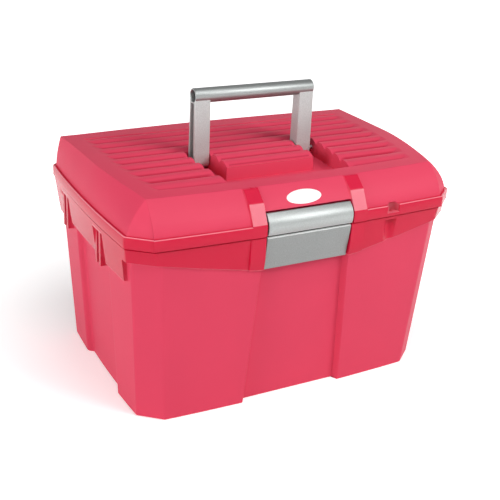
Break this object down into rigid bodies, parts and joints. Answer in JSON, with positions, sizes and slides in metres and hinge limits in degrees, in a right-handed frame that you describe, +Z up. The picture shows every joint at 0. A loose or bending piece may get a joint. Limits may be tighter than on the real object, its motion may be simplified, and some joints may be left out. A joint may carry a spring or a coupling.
{
  "type": "grooming box",
  "caption": "Moulded plastic carrying box for horse grooming kit: domed ribbed lid on rear hinges, folding bail handle, swinging front latch, padlock eye and lift-out tray.",
  "frame": {"origin": "on the ground under the middle of the tub's base", "axes": "+X right along the front, +Y from the latch to the hinges, +Z up"},
  "size_m": [0.4, 0.2922, 0.3235],
  "materials": {
    "red_shell": "fine spark-eroded texture with polished edges",
    "silver_plastic": "satin metallic",
    "steel": "drawn wire",
    "label": "gloss",
    "tray_plastic": "matte"
  },
  "bodies": {
    "tub": {"tub": "red_shell", "hinge_pin_left": "steel", "hinge_pin_right": "steel"},
    "lid": {"lid": "red_shell", "label_badge": "label", "latch_pin": "steel", "handle_pin_left": "steel", "handle_pin_right": "steel"},
    "latch": {"latch_hood": "silver_plastic", "latch_flap": "silver_plastic"},
    "handle": {"handle": "silver_plastic"},
    "tray": {"tray": "tray_plastic"}
  },
  "joints": [
    {"name": "lid_hinge", "type": "hinge", "parent": "tub", "child": "lid", "pos_m": [0, 0.146, 0.203], "axis": [-1, 0, 0], "range_deg": [0, 110]},
    {"name": "handle_fold", "type": "hinge", "parent": "lid", "child": "handle", "pos_m": [0, 0, 0.2425], "axis": [1, 0, 0], "range_deg": [0, 90]},
    {"name": "latch_swing", "type": "hinge", "parent": "lid", "child": "latch", "pos_m": [0, -0.131, 0.221], "axis": [-1, 0, 0], "range_deg": [0, 80]},
    {"name": "tray_lift", "type": "slide", "parent": "tub", "child": "tray", "axis": [0, 0, 1], "range_m": [0, 0.014]}
  ]
}
